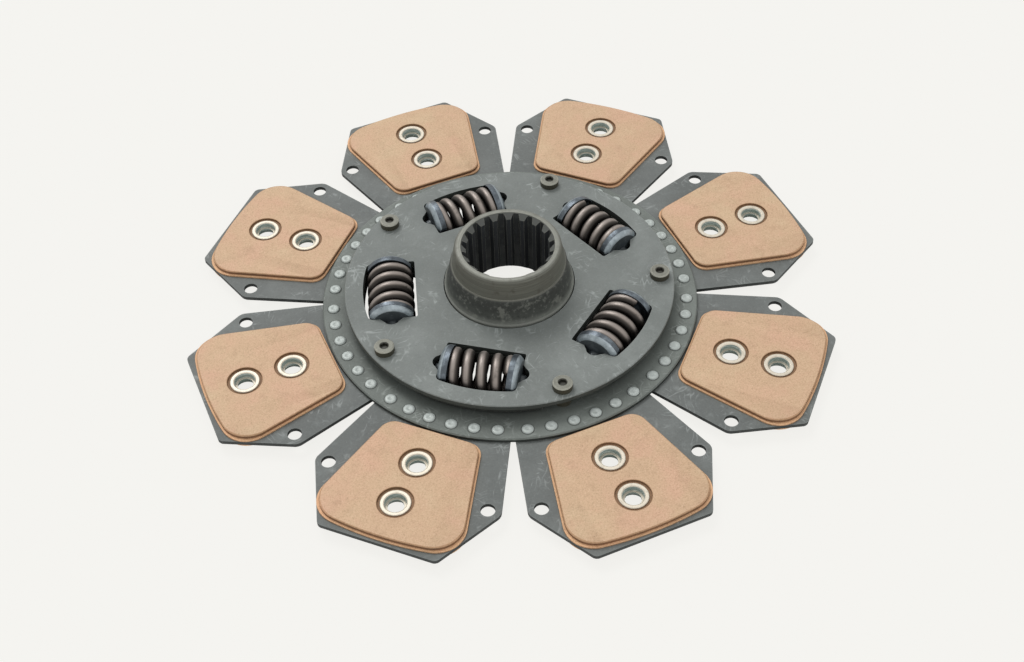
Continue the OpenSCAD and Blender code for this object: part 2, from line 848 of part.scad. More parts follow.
front_cover();
carrier_plate();
hub();
centre_bush();
friction_washer();
stop_pins();
ring_rivets();
pad_rivets();
paddle(1);  // paddle_1
paddle(2);  // paddle_2
paddle(3);  // paddle_3
paddle(4);  // paddle_4
paddle(5);  // paddle_5
paddle(6);  // paddle_6
paddle(7);  // paddle_7
paddle(8);  // paddle_8
front_pad(1);  // front_pad_1
front_pad(2);  // front_pad_2
front_pad(3);  // front_pad_3
front_pad(4);  // front_pad_4
front_pad(5);  // front_pad_5
front_pad(6);  // front_pad_6
front_pad(7);  // front_pad_7
front_pad(8);  // front_pad_8
rear_pad(1);  // rear_pad_1
rear_pad(2);  // rear_pad_2
rear_pad(3);  // rear_pad_3
rear_pad(4);  // rear_pad_4
rear_pad(5);  // rear_pad_5
rear_pad(6);  // rear_pad_6
rear_pad(7);  // rear_pad_7
rear_pad(8);  // rear_pad_8
spring(1);  // spring_1
spring(2);  // spring_2
spring(3);  // spring_3
spring(4);  // spring_4
spring(5);  // spring_5
seat(1, 1);  // seat_a_1
seat(2, 1);  // seat_a_2
seat(3, 1);  // seat_a_3
seat(4, 1);  // seat_a_4
seat(5, 1);  // seat_a_5
seat(1, -1);  // seat_b_1
seat(2, -1);  // seat_b_2
seat(3, -1);  // seat_b_3
seat(4, -1);  // seat_b_4
seat(5, -1);  // seat_b_5
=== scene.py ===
"""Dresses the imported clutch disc: finishes, pads, rivets, springs and seats, with its light and camera."""

import logging
import math
from dataclasses import dataclass, field
from enum import IntEnum
from typing import Iterable, Mapping, Sequence

import bmesh
import bpy
from mathutils import Matrix, Vector
from mathutils.geometry import tessellate_polygon


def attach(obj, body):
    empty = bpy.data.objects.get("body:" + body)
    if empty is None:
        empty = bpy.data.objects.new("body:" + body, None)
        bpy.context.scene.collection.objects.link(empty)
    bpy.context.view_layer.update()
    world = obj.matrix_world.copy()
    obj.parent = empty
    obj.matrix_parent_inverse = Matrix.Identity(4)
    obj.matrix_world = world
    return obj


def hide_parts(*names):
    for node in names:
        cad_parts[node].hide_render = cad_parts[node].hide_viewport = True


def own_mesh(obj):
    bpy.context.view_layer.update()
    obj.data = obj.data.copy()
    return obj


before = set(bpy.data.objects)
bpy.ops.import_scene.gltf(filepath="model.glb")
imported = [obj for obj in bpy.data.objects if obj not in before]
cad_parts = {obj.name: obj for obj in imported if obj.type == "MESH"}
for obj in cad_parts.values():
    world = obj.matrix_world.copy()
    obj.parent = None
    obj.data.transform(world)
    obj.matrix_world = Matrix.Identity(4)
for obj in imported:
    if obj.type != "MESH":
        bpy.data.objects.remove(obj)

LOG = logging.getLogger("clutch_disc")
MM = 0.001
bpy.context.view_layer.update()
# Rays that each corner or nook mask sends out
RAYS = 6
# Distance in millimetres below which points are one
WELD = 0.002

Colour = tuple[int, int, int]
Triple = tuple[float, float, float]
Flat = tuple[float, float]
Socket = bpy.types.NodeSocket
Material = bpy.types.Material


def linear(colour: Colour) -> tuple[float, ...]:
    """Turns a display colour of 0 to 255 into the linear colour that a shader takes."""
    shares = [value / 255 for value in colour]
    return (*[s / 12.92 if s <= 0.04045 else ((s + 0.055) / 1.055) ** 2.4 for s in shares], 1.0)


def rotation(angle: float, axis: str) -> Matrix:
    """Turns by an angle in degrees about the axis X, Y or Z."""
    return Matrix.Rotation(math.radians(angle), 4, axis)


class Signal:
    """A number that changes over a surface; arithmetic on it adds Math nodes."""

    def __init__(self, shader: "Shader", socket: Socket) -> None:
        """Wraps one output socket of a shader."""
        self.shader = shader
        self.socket = socket

    def calc(self, operation: str, *values: "Number") -> "Signal":
        """Adds one Math node with its inputs in order."""
        return self.shader.number("ShaderNodeMath", {"operation": operation}, values)

    def __add__(self, other: "Number") -> "Signal":
        """This plus other."""
        return self.calc("ADD", self, other)

    def __radd__(self, other: "Number") -> "Signal":
        """Other plus this."""
        return self.calc("ADD", other, self)

    def __sub__(self, other: "Number") -> "Signal":
        """This less other."""
        return self.calc("SUBTRACT", self, other)

    def __rsub__(self, other: "Number") -> "Signal":
        """Other less this."""
        return self.calc("SUBTRACT", other, self)

    def __mul__(self, other: "Number") -> "Signal":
        """This times other."""
        return self.calc("MULTIPLY", self, other)

    def __rmul__(self, other: "Number") -> "Signal":
        """Other times this."""
        return self.calc("MULTIPLY", other, self)

    def __truediv__(self, other: "Number") -> "Signal":
        """This divided by other."""
        return self.calc("DIVIDE", self, other)

    def __abs__(self) -> "Signal":
        """The size of this without its sign."""
        return self.calc("ABSOLUTE", self)

    def least(self, other: "Number") -> "Signal":
        """The smaller of this and other."""
        return self.calc("MINIMUM", self, other)

    def most(self, other: "Number") -> "Signal":
        """The larger of this and other."""
        return self.calc("MAXIMUM", self, other)

    def fade(self, low: float, high: float) -> "Signal":
        """Rises smoothly from 0 where this is low to 1 where this is high, which may be the smaller one."""
        ends = (low, high, 0.0, 1.0) if low <= high else (high, low, 1.0, 0.0)
        return self.shader.number("ShaderNodeMapRange", {"interpolation_type": "SMOOTHSTEP"}, (self, *ends))

    def band(self, low: float, high: float, soft: float) -> "Signal":
        """Is 1 between two values and fades out past them over the width soft."""
        return self.fade(low - soft, low) * self.fade(high + soft, high)


Number = Signal | float
Feed = Signal | Socket | float | Sequence[float]
Settings = Mapping[str, object]
Values = Mapping[int | str, Feed] | Sequence[Feed]


@dataclass(frozen=True)
class Places:
    """Places on a circle, one or a group at each even step from the angle start, in degrees from +X."""

    count: int
    start: float
    circle: float = 0.0
    each: int = 1
    step: float = 0.0

    def turns(self) -> list[Matrix]:
        """Turns that bring +X to each place, group by group.

        Returns:
            Their matrices.
        """
        middles = [self.start + group * 360 / self.count for group in range(self.count)]
        shifts = [(k - (self.each - 1) / 2) * self.step for k in range(self.each)]
        return [rotation(middle + shift, "Z") for middle in middles for shift in shifts]


class Shader:
    """The node tree of one material, of the world, or of the floor."""

    def __init__(self, tree: bpy.types.NodeTree) -> None:
        """Empties a tree and keeps it.

        Args:
            tree: The tree to fill.
        """
        self.tree = tree
        tree.nodes.clear()
        self._place: Socket | None = None

    @classmethod
    def of_material(cls, name: str) -> tuple[Material, "Shader"]:
        """Makes a new material.

        Args:
            name: The material's name.

        Returns:
            The material and the shader of its tree.
        """
        material = bpy.data.materials.new(name)
        material.use_nodes = True
        return material, cls(material.node_tree)

    def node(
        self, kind: str, settings: Settings | None = None, values: Values = (), output: int | str = 0
    ) -> Socket:
        """Adds any node.

        Args:
            kind: The node's type.
            settings: Attributes to set first.
            values: Numbers, display colours or links for its input sockets, in order or by their keys.
            output: Which output to give back.

        Returns:
            The output socket, or the node's first input where it has no output.
        """
        made = self.tree.nodes.new(kind)
        for name, value in (settings or {}).items():
            setattr(made, name, value)
        for key, feed in values.items() if isinstance(values, Mapping) else enumerate(values):
            feed = feed.socket if isinstance(feed, Signal) else feed
            if isinstance(feed, Socket):
                self.tree.links.new(feed, made.inputs[key])
            else:
                made.inputs[key].default_value = linear(feed) if made.inputs[key].type == "RGBA" else feed
        return made.outputs[output] if len(made.outputs) else made.inputs[0]

    def number(self, kind: str, *inputs: Settings | Values | str, **options: Values | int | str) -> Signal:
        """Adds any node and wraps its number; the arguments are those of node."""
        return Signal(self, self.node(kind, *inputs, **options))

    def vector(self, operation: str, *values: Feed) -> Socket:
        """Adds a Vector Math node with its inputs in order; the last one of SCALE is a number."""
        keys = (0, 3) if operation == "SCALE" else range(len(values))
        return self.node("ShaderNodeVectorMath", {"operation": operation}, dict(zip(keys, values)))

    def place(self) -> Socket:
        """Reads the place of a point on the disc, once for each shader.

        Returns:
            The place in millimetres of the disc's own frame.
        """
        if self._place is None:
            spot = self.node("ShaderNodeTexCoord", output="Object")
            self._place = self.vector("SCALE", spot, 1 / MM)
        return self._place

    def axes(self, vector: Socket | None = None) -> tuple[Signal, Signal, Signal]:
        """Splits a vector, or else the place on the disc, into its three numbers."""
        made = self.node("ShaderNodeSeparateXYZ", values=[vector or self.place()]).node
        return tuple(Signal(self, socket) for socket in made.outputs)

    def facing(self) -> Signal:
        """How far the surface faces up or down the hub axis: 1, 0 or -1."""
        return self.axes(self.node("ShaderNodeTexCoord", output="Normal"))[2]

    def around(self) -> Signal:
        """Finds how far the surface faces round the hub axis.

        Returns:
            A number from 1 for one way round to -1 for the other.
        """
        x, y, _ = self.axes()
        nx, ny, _ = self.axes(self.node("ShaderNodeTexCoord", output="Normal"))
        return (ny * x - nx * y) / self.radius()

    def radius(self) -> Signal:
        """Distance from the hub axis in millimetres."""
        x, y, _ = self.axes()
        return x.calc("SQRT", x * x + y * y)

    def beside(self, places: Places) -> Signal:
        """Distance from the nearest of the places on a circle, seen along the hub axis.

        Args:
            places: The places to measure from.

        Returns:
            The distance in millimetres.
        """
        x, y, _ = self.axes()
        reach = self.radius()
        half = math.pi / places.count
        turn = x.calc("WRAP", x.calc("ARCTAN2", y, x) - math.radians(places.start), half, -half)
        if places.each > 1:
            gap = math.radians(places.step)
            last = (places.each - 1) / 2
            turn = turn - (x.calc("FLOOR", turn / gap) + 0.5).least(last).most(-last) * gap
        along = reach * turn.calc("COSINE", turn) - places.circle
        across = reach * turn.calc("SINE", turn)
        return x.calc("SQRT", along * along + across * across)

    def noise(
        self, size: float, seed: float, detail: float = 2.0, rough: float = 0.5, at: Socket | None = None,
        output: str = "Fac",
    ) -> Signal:
        """Makes noise of 0 to 1.

        Args:
            size: Size of its blots in millimetres.
            seed: Picks one of many patterns.
            detail: Number of finer layers.
            rough: Strength of the finer layers.
            at: Where to read it, or else the place on the disc.
            output: Which output of the node to take.

        Returns:
            The noise.
        """
        values = {
            "Vector": at or self.place(), "W": seed, "Scale": 1 / size, "Detail": detail, "Roughness": rough
        }
        return self.number("ShaderNodeTexNoise", {"noise_dimensions": "4D"}, values, output)

    def grains(self, size: float, seed: float) -> Signal:
        """Distance to the middle of the nearest grain, in grains of size millimetres."""
        moved = self.vector("ADD", self.place(), (seed * 7.3, seed * 3.1, seed * 5.7))
        return self.number("ShaderNodeTexVoronoi", values={"Vector": moved, "Scale": 1 / size})

    def strokes(self, angle: float, length: float, gap: float, thin: float, seed: float) -> Signal:
        """Thin, slightly bent marks that run one way across the disc.

        Args:
            angle: Direction in degrees from +X.
            length: Typical length in millimetres.
            gap: Typical distance between two marks.
            thin: Share of the gap that a mark takes.
            seed: Picks one of many sets.

        Returns:
            A mask, 1 on the marks.
        """
        drift = self.noise(length, seed, 1, output="Color")
        bent = self.vector("ADD", self.place(), self.vector("SCALE", drift, length * 0.5))
        about = {"rotation_type": "Z_AXIS"}
        turned = self.node("ShaderNodeVectorRotate", about, {"Vector": bent, "Angle": math.radians(-angle)})
        drawn = self.vector("MULTIPLY", turned, (1 / length, 1 / gap, 1 / gap))
        line = abs(self.noise(1, seed, 0, at=drawn) - 0.5).fade(thin, 0)
        return line * self.noise(gap * 3, seed + 3.3, 1).fade(0.5, 0.62)

    def rings(self, gap: float, seed: float) -> Signal:
        """Fine marks of turning round the hub axis.

        Args:
            gap: Typical distance between two marks in millimetres.
            seed: Picks one of many sets.

        Returns:
            Noise between 0 and 1.
        """
        x, y, z = self.axes()
        at = self.node("ShaderNodeCombineXYZ", values=(self.radius() / gap, z / gap, (x + y) / (gap * 60)))
        return self.noise(1, seed, 2, at=at)

    def rounded(self, reach: float) -> Socket:
        """The normal, with corners rounded by reach millimetres."""
        return self.node("ShaderNodeBevel", {"samples": RAYS}, {"Radius": reach * MM})

    def edge(self, reach: float) -> Signal:
        """Finds the corners of the shape.

        Args:
            reach: Width of the mark beside a corner in millimetres.

        Returns:
            A mask, 1 right on a corner.
        """
        plain = self.node("ShaderNodeNewGeometry", output="Normal")
        both = (self.rounded(reach), plain)
        match = self.number("ShaderNodeVectorMath", {"operation": "DOT_PRODUCT"}, both, "Value")
        return (1 - match).fade(0.01, 0.16)

    def open_sky(self, reach: float) -> Signal:
        """1 in the open and 0 deep in a nook, where neighbours up to reach millimetres away count."""
        settings = {"samples": RAYS}
        return self.number("ShaderNodeAmbientOcclusion", settings, {"Distance": reach * MM}, "AO")

    def layers(self, ground: Feed, *coats: tuple[Number, Feed]) -> Socket:
        """Lays several colours over a ground, one after the other.

        Args:
            ground: The lowest colour.
            coats: A share and a colour for each coat.

        Returns:
            The colour with all coats.
        """
        for share, colour in coats:
            ground = self.node("ShaderNodeMix", {"data_type": "RGBA"}, {0: share, 6: ground, 7: colour}, 2)
        return ground

    def relief(self, height: Signal, depth: float, rounding: float = 0.0) -> Socket:
        """Makes the normal of a rough surface.

        Args:
            height: Height of the surface, 0 to 1.
            depth: Height of 1 in millimetres.
            rounding: Radius at the corners in millimetres, or 0 for sharp ones.

        Returns:
            The normal.
        """
        values: dict[str, Feed] = {"Height": height, "Distance": depth * MM}
        if rounding:
            values["Normal"] = self.rounded(rounding)
        return self.node("ShaderNodeBump", values=values)

    def surface(self, **sockets: Feed) -> None:
        """Ends the tree with a Principled shader.

        Args:
            sockets: Its inputs, with an underscore for each space in their names.
        """
        values = {name.replace("_", " "): feed for name, feed in sockets.items()}
        skin = self.node("ShaderNodeBsdfPrincipled", values=values)
        self.node("ShaderNodeOutputMaterial", values={"Surface": skin})


@dataclass(frozen=True)
class Coat:
    """One finish of the disc."""

    name: str

    def paint(self, s: Shader) -> None:
        """Builds the nodes of the finish."""
        raise NotImplementedError

    def material(self) -> Material:
        """Makes the material.

        Returns:
            The material.
        """
        material, s = Shader.of_material(self.name)
        self.paint(s)
        return material


@dataclass(frozen=True)
class PhosphateCoat(Coat):
    """Matt grey coat on pressed steel plates, with smudges, scratches and a worn edge, painted shade on the
    standing cut sides, in nooks and round the rivet heads, and a painted shadow band where one is given.
    """

    ground: Colour
    pale: Colour
    dark: Colour
    rim: Colour
    # Painted shade: the colour of the standing sides, of nooks and of the plate under the rivet heads
    side: Colour
    scuffs: float
    # Radius inside which a painted shadow darkens the plate, and the radius by which it has faded out
    painted_shadow_band: Flat = (0.0, 1.0)
    rivets: Places | None = None
    rivet_r: float = 3.15
    seed: float = 1.0

    def paint(self, s: Shader) -> None:
        """Builds the nodes.

        Args:
            s: The shader to fill.
        """
        sky = s.open_sky(5)
        cloud = s.noise(26, self.seed, 3, 0.55)
        speck = s.noise(0.9, self.seed + 1, 2, 0.7)
        smear = s.noise(9, self.seed + 2, 5, 0.62)
        patch = s.noise(15, self.seed + 3, 4, 0.65)
        marks = s.strokes(18, 16, 2.6, 0.05, self.seed + 4) + s.strokes(-52, 13, 3, 0.05, self.seed + 5)
        marks = (marks + s.strokes(80, 15, 3.4, 0.05, self.seed + 6)).least(1.0) * patch.fade(0.46, 0.58)
        standing = abs(s.facing()).fade(0.5, 0.2)
        grooves = s.noise(1, self.seed + 7, 2, at=s.vector("MULTIPLY", s.place(), (0.15, 0.15, 2.4)))
        coats: list[tuple[Number, Feed]] = [
            (cloud.fade(0.62, 0.32) * 0.4, self.dark),
            (cloud.fade(0.5, 0.75) * 0.4, self.pale),
            (smear.fade(0.54, 0.72) * self.scuffs, self.pale),
            (smear.fade(0.46, 0.28) * self.scuffs * 0.7, self.dark),
            (patch.fade(0.62, 0.74) * self.scuffs * 0.9, self.rim),
            (speck.fade(0.52, 0.72) * 0.3, self.pale),
            (speck.fade(0.46, 0.28) * 0.35, self.dark),
            (marks * 0.65, self.rim),
            # Painted shadow of the cover: darker inside the band of radii
            (s.radius().fade(self.painted_shadow_band[1], self.painted_shadow_band[0]) * 0.55, self.dark),
        ]
        # Painted shadow: a dark ring round each rivet head, and painted shade on the plate under it
        if self.rivets:
            off = s.beside(self.rivets)
            coats.append((off.fade(self.rivet_r + 1.05, self.rivet_r - 0.05) * 0.45, self.dark))
            coats.append((off.band(0.0, self.rivet_r + 0.2, 0.25) * 0.75, self.side))
        coats += [
            (s.edge(0.8) * sky.fade(0.45, 0.8) * 0.5, self.rim),
            # Painted shade on the standing cut sides; the grooves on them are real fine lines
            (standing * 0.9, self.side),
            (standing * grooves.fade(0.5, 0.7) * 0.45, self.dark),
            # Painted shade in nooks
            (sky.fade(0.62, 0.15) * 0.7, self.side),
        ]
        colour = s.layers(self.ground, *coats)
        normal = s.relief(speck * 0.6 + smear * 0.8 - marks * 0.5, 0.05, 0.35)
        s.surface(Base_Color=colour, Roughness=0.5 + smear * 0.2 - marks * 0.1, Normal=normal)


@dataclass(frozen=True)
class HubCoat(Coat):
    """Dark forged cone with painted light at its foot and painted shade under the shoulder, turned collar,
    bright rim, flange in painted shade and shadowed spline of the hub.
    """

    name: str = "hub_steel_finish"
    cover_top: float = 19.5
    shoulder: float = 34.9
    top: float = 47.0
    spline_root: float = 25.0

    def paint(self, s: Shader) -> None:
        """Builds the nodes.

        Args:
            s: The shader to fill.
        """
        _, _, z = s.axes()
        reach = s.radius()
        facing = s.facing()
        sky = s.open_sky(4)
        rough = s.noise(2.4, 11.0, 4, 0.65)
        scuff = s.noise(6, 12.0, 4, 0.6)
        turned = s.rings(0.45, 13.0)
        outside = reach.fade(self.spline_root - 0.2, self.spline_root + 0.4)
        collar = z.fade(self.shoulder - 0.3, self.shoulder + 0.4) * outside
        rim = facing.fade(0.8, 0.95) * z.fade(self.top - 1, self.top - 0.5) * outside
        bevel = facing.band(0.3, 0.8, 0.12) * z.fade(self.top - 4, self.top - 3)
        flange = z.fade(self.cover_top - 2.5, self.cover_top - 3.5)
        edge = s.edge(0.6)
        cone = s.layers(
            (66, 69, 64),
            (rough.fade(0.5, 0.3) * 0.7, (36, 38, 35)),
            # Painted shade under the shoulder
            (z.band(self.shoulder - 4.9, self.shoulder + 0.1, 5.0) * 0.6, (40, 42, 39)),
            (rough.fade(0.54, 0.66) * 0.6, (110, 113, 105)),
            (scuff.fade(0.55, 0.66) * 0.6, (126, 128, 119)),
        )
        sleeve = s.layers(
            (92, 93, 84),
            (turned.fade(0.45, 0.7) * 0.5, (122, 122, 111)),
            (turned.fade(0.45, 0.25) * 0.45, (60, 61, 54)),
            (scuff.fade(0.56, 0.7) * 0.5, (62, 58, 48)),
            (rough.fade(0.6, 0.75) * 0.35, (136, 136, 126)),
        )
        bright = s.layers(
            (118, 119, 112),
            (turned.fade(0.4, 0.7) * 0.4, (146, 147, 139)),
            (scuff.fade(0.52, 0.35) * 0.45, (92, 92, 84)),
        )
        # Painted shade: the flange between the plates darker, with its own turning marks
        plate = s.layers((48, 52, 48), (turned.fade(0.45, 0.7) * 0.5, (32, 35, 32)))
        bore = s.layers((48, 51, 53), (rough.fade(0.5, 0.75) * 0.5, (72, 76, 76)))
        # Painted light: the foot of the cone, just above the cover, lighter
        foot = z.fade(self.cover_top + 5.5, self.cover_top + 1.5)
        colour = s.layers(
            cone,
            (foot * 0.65, (130, 133, 125)),
            (collar, sleeve),
            (flange * outside, plate),
            (1 - outside, bore),
            (rim, bright),
            (bevel * (1 - outside), (84, 86, 82)),
            (edge * sky.fade(0.4, 0.75) * 0.8, (152, 152, 141)),
            # Painted shade in nooks
            (sky.fade(0.6, 0.15) * 0.45, (34, 34, 31)),
        )
        normal = s.relief(rough * (1 - collar) * 1.4 + turned * collar * 0.5 + scuff * 0.4, 0.12, 0.3)
        metal = rim * 0.35 + collar * 0.15
        dull = 0.52 - collar * 0.12 + rough * 0.15
        s.surface(Base_Color=colour, Metallic=metal, Roughness=dull, Normal=normal)


@dataclass(frozen=True)
class PinCoat(Coat):
    """Warm grey turned steel of the stop pins, with painted shade on the standing sides, in the recess of
    each head and in nooks, and a painted highlight on each head's chamfer.
    """

    name: str = "pin_steel_finish"
    places: Places = Places(5, 0.5, 82.3)
    head_r: float = 5.3
    recess_r: float = 2.2

    def paint(self, s: Shader) -> None:
        """Builds the nodes.

        Args:
            s: The shader to fill.
        """
        off = s.beside(self.places)
        facing = abs(s.facing())
        grain = s.noise(0.7, 21.0, 3, 0.6)
        blot = s.noise(3.2, 22.0, 3)
        edge = s.edge(0.5)
        rim = off.fade(self.head_r - 1.2, self.head_r - 0.7)
        colour = s.layers(
            (120, 120, 110),
            (blot.fade(0.55, 0.35) * 0.5, (100, 99, 88)),
            (grain.fade(0.5, 0.72) * 0.4, (152, 152, 142)),
            # Painted shade on the standing sides, and a painted highlight on the chamfer at the head's rim
            (facing.fade(0.35, 0.1), (70, 68, 56)),
            (facing.band(0.45, 0.85, 0.1) * rim, (160, 160, 148)),
            # Painted shade in the recess of each head
            (off.fade(self.recess_r + 0.5, self.recess_r), (50, 49, 42)),
            (edge * off.fade(self.head_r - 1.6, self.head_r - 0.6) * 0.5, (168, 168, 156)),
            # Painted shade in nooks
            (s.open_sky(4).fade(0.6, 0.2) * 0.6, (36, 35, 29)),
        )
        normal = s.relief(grain + blot, 0.05, 0.25)
        s.surface(Base_Color=colour, Metallic=0.25, Roughness=0.4 + grain * 0.15, Normal=normal)


@dataclass(frozen=True)
class ZincCoat(Coat):
    """Bright zinc plate with faint streaks; the inner walls of the tubular rivets are duller."""

    ground: Colour = (210, 201, 184)
    bright: Colour = (230, 223, 208)
    dull: Colour = (168, 160, 144)
    metal: float = 0.4
    bores: tuple[Places, ...] = ()
    bore_r: float = 5.5
    seed: float = 31.0

    def paint(self, s: Shader) -> None:
        """Builds the nodes.

        Args:
            s: The shader to fill.
        """
        facing = s.facing()
        fine = s.noise(0.5, self.seed, 3, 0.6)
        blot = s.noise(2.6, self.seed + 1, 3, 0.55)
        sky = s.open_sky(2.5)
        colour = s.layers(
            self.ground,
            (blot.fade(0.5, 0.3) * 0.45, self.dull),
            (fine.fade(0.55, 0.75) * 0.4, self.bright),
            (fine.fade(0.42, 0.28) * 0.3, self.dull),
            # Painted shade in nooks
            (sky.fade(0.5, 0.1) * 0.45, (96, 100, 95)),
        )
        rough: Number = 0.36 + fine * 0.15
        metal: Number = self.metal
        if self.bores:
            off, *others = [s.beside(places) for places in self.bores]
            for other in others:
                off = off.least(other)
            wall = off.fade(self.bore_r + 0.5, self.bore_r + 0.2) * abs(facing).fade(0.6, 0.3)
            x, y, z = s.axes()
            level = s.node("ShaderNodeCombineXYZ", values=(x * 0.12, y * 0.12, z * 2.2))
            streak = s.noise(1, self.seed + 2, 2, at=level)
            inner = s.layers((146, 160, 152), (streak.fade(0.5, 0.62) * 0.8, (216, 224, 217)))
            colour = s.layers(colour, (wall, inner))
            metal = self.metal - wall * 0.6
            rough = rough + wall * 0.15
        normal = s.relief(blot + fine * 0.5, 0.05, 0.15)
        s.surface(Base_Color=colour, Metallic=metal, Roughness=rough, Normal=normal)


class PadZone(IntEnum):
    """The surfaces of a friction pad that look different."""

    FACE = 0
    BEVEL = 1
    SIDE = 2
    BACKING = 3
    RECESS = 4


@dataclass(frozen=True)
class SinterCoat(Coat):
    """Sintered bronze: fine dark and bright grains, soft pink and yellow patches."""

    ground: Colour
    warm: Colour
    cool: Colour
    light: Colour
    dark: Colour
    grain_depth: float = 0.06
    seed: float = 41.0

    def paint(self, s: Shader) -> None:
        """Builds the nodes.

        Args:
            s: The shader to fill.
        """
        patch = s.noise(19, self.seed, 3, 0.5)
        blend = s.noise(8, self.seed + 1, 4, 0.6)
        dust = s.noise(0.8, self.seed + 2, 3, 0.75)
        spot = s.grains(1.4, self.seed)
        pick = s.noise(2.2, self.seed + 3, 2)
        holes = spot.fade(0.26, 0.12) * pick.fade(0.6, 0.7)
        marks = s.strokes(28, 22, 6, 0.03, self.seed + 4)
        colour = s.layers(
            self.ground,
            (patch.fade(0.48, 0.7) * 0.6, self.warm),
            (patch.fade(0.5, 0.28) * 0.6, self.cool),
            (blend.fade(0.5, 0.72) * 0.35, self.warm),
            (blend.fade(0.46, 0.28) * 0.3, self.dark),
            (dust.fade(0.5, 0.68) * 0.5, self.light),
            (dust.fade(0.5, 0.32) * 0.6, self.dark),
            (marks * 0.18, self.dark),
            (holes * 0.5, (120, 92, 68)),
            # Painted shade in nooks
            (s.open_sky(5).fade(0.7, 0.25) * 0.45, (92, 66, 46)),
        )
        normal = s.relief(dust * 0.8 + blend * 0.4 - holes - marks * 0.4, self.grain_depth, 0.3)
        s.surface(Base_Color=colour, Metallic=0.1, Roughness=0.55 + dust * 0.2, Normal=normal)


@dataclass(frozen=True)
class WireCoat(Coat):
    """Dark brown tempered wire with a soft sheen, rubbed patches, a painted highlight along each strand's
    ridge and painted shade on its flanks and between the coils.
    """

    name: str = "spring_steel_finish"

    def paint(self, s: Shader) -> None:
        """Builds the nodes.

        Args:
            s: The shader to fill.
        """
        blot = s.noise(5, 51.0, 3, 0.6)
        fine = s.noise(0.8, 52.0, 3, 0.65)
        flank = abs(s.around())
        colour = s.layers(
            (106, 98, 92),
            # Painted highlight along the ridge of each strand
            (flank.fade(0.55, 0.15) * 0.85, (156, 147, 141)),
            (blot.fade(0.46, 0.28) * 0.5, (78, 71, 66)),
            (fine.fade(0.56, 0.75) * 0.3, (162, 155, 147)),
            # Painted shade on the flanks and between the coils
            (flank.fade(0.3, 0.72) * 0.85, (30, 27, 25)),
            (s.open_sky(6).fade(0.75, 0.3) * 0.85, (26, 22, 20)),
        )
        normal = s.relief(fine + blot * 0.4, 0.04)
        s.surface(Base_Color=colour, Metallic=0.6, Roughness=0.4 + fine * 0.14, Normal=normal)


class SeatZone(IntEnum):
    """The surfaces of a spring seat that look different."""

    SKIRT = 0
    END = 1
    RIM = 2


@dataclass(frozen=True)
class SeatCoat(Coat):
    """Bluish drawn steel of the spring seats, bright on the skirt, with painted shade on the end and a
    painted highlight on the rounded rim.
    """

    ground: Colour
    pale: Colour
    dark: Colour
    seed: float = 61.0
    metal: float = 0.8

    def paint(self, s: Shader) -> None:
        """Builds the nodes.

        Args:
            s: The shader to fill.
        """
        blot = s.noise(3.5, self.seed, 3, 0.6)
        fine = s.noise(0.6, self.seed + 1, 3, 0.6)
        edge = s.edge(0.35)
        colour = s.layers(
            self.ground,
            (blot.fade(0.5, 0.7) * 0.5, self.pale),
            (blot.fade(0.48, 0.3) * 0.5, self.dark),
            (fine.fade(0.55, 0.74) * 0.3, self.pale),
            (edge * 0.5, self.pale),
            # Painted shade in nooks
            (s.open_sky(3).fade(0.6, 0.15) * 0.6, (26, 29, 31)),
        )
        normal = s.relief(blot * 1.2 + fine * 0.5, 0.06)
        s.surface(Base_Color=colour, Metallic=self.metal, Roughness=0.28 + fine * 0.2, Normal=normal)


@dataclass(frozen=True)
class LiningCoat(Coat):
    """Dull dark lining of the bush and of the friction washer, with fibres."""

    ground: Colour
    fibre: Colour
    seed: float

    def paint(self, s: Shader) -> None:
        """Builds the nodes.

        Args:
            s: The shader to fill.
        """
        fibres = s.strokes(33, 5, 0.7, 0.12, self.seed) + s.strokes(-58, 6, 0.8, 0.12, self.seed + 1)
        fibres = fibres.least(1.0)
        blot = s.noise(4, self.seed + 2, 3)
        colour = s.layers(
            self.ground,
            (fibres * 0.5, self.fibre),
            (blot.fade(0.5, 0.3) * 0.4, (40, 38, 34)),
            (s.edge(0.5) * 0.3, self.fibre),
        )
        normal = s.relief(blot + fibres * 0.6, 0.05, 0.2)
        s.surface(Base_Color=colour, Roughness=0.62 + blot * 0.2, Normal=normal)


